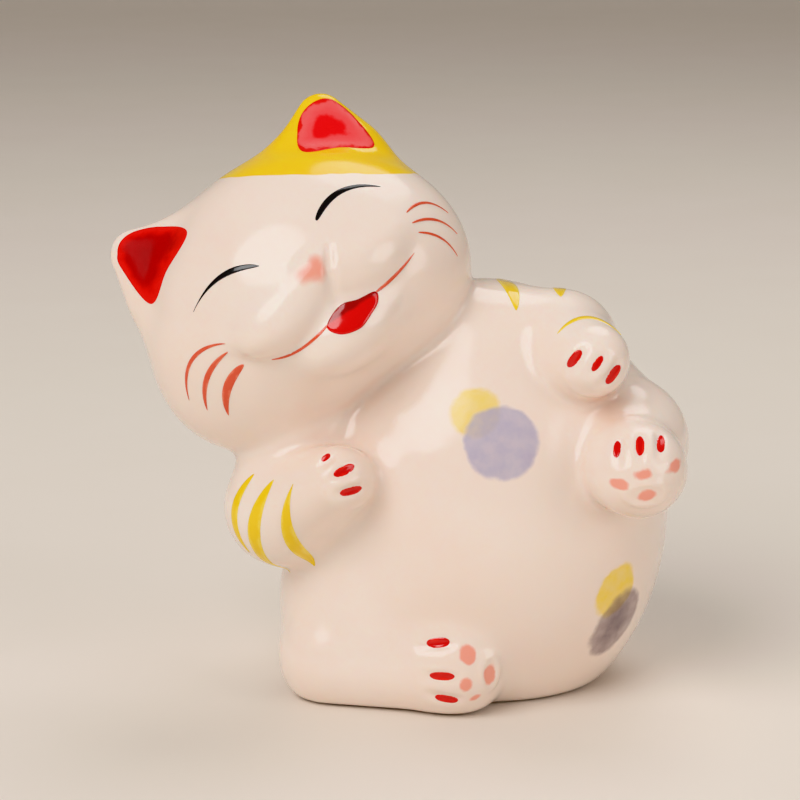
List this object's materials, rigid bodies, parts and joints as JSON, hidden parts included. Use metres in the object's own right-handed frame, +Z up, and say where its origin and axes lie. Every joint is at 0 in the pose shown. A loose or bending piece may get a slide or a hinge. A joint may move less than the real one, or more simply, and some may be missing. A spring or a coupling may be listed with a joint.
{
  "type": "ceramic cat figurine",
  "caption": "Glazed ceramic figurine of a laughing cat lying back with raised paws and a round belly; stands on its flat base.",
  "frame": {"origin": "under the middle of the bounding box, on the plane the figurine stands on", "axes": "+X to the viewer's right as the belly faces the viewer, +Y from the belly to the back, +Z up"},
  "size_m": [0.0966, 0.067, 0.101],
  "materials": {
    "white_glaze": "glossy warm white glaze over the whole figurine",
    "yellow_enamel": "glossy painted yellow under the glaze",
    "red_enamel": "glossy painted red, pooled a little deeper in the ears",
    "whisker_enamel": "thin orange-red brush strokes",
    "black_enamel": "glossy black brush strokes",
    "pink_enamel": "thin translucent pink wash",
    "bisque": "unglazed fired clay, matt"
  },
  "bodies": {
    "root": {"torso_shell": "white_glaze", "head_shell": "white_glaze", "right_ear": "white_glaze", "left_ear": "yellow_enamel", "right_arm": "white_glaze", "left_arm": "white_glaze", "right_hind_leg": "white_glaze", "left_hind_leg": "white_glaze", "right_foot": "white_glaze", "left_foot": "white_glaze", "tail": "white_glaze"}
  },
  "joints": []
}
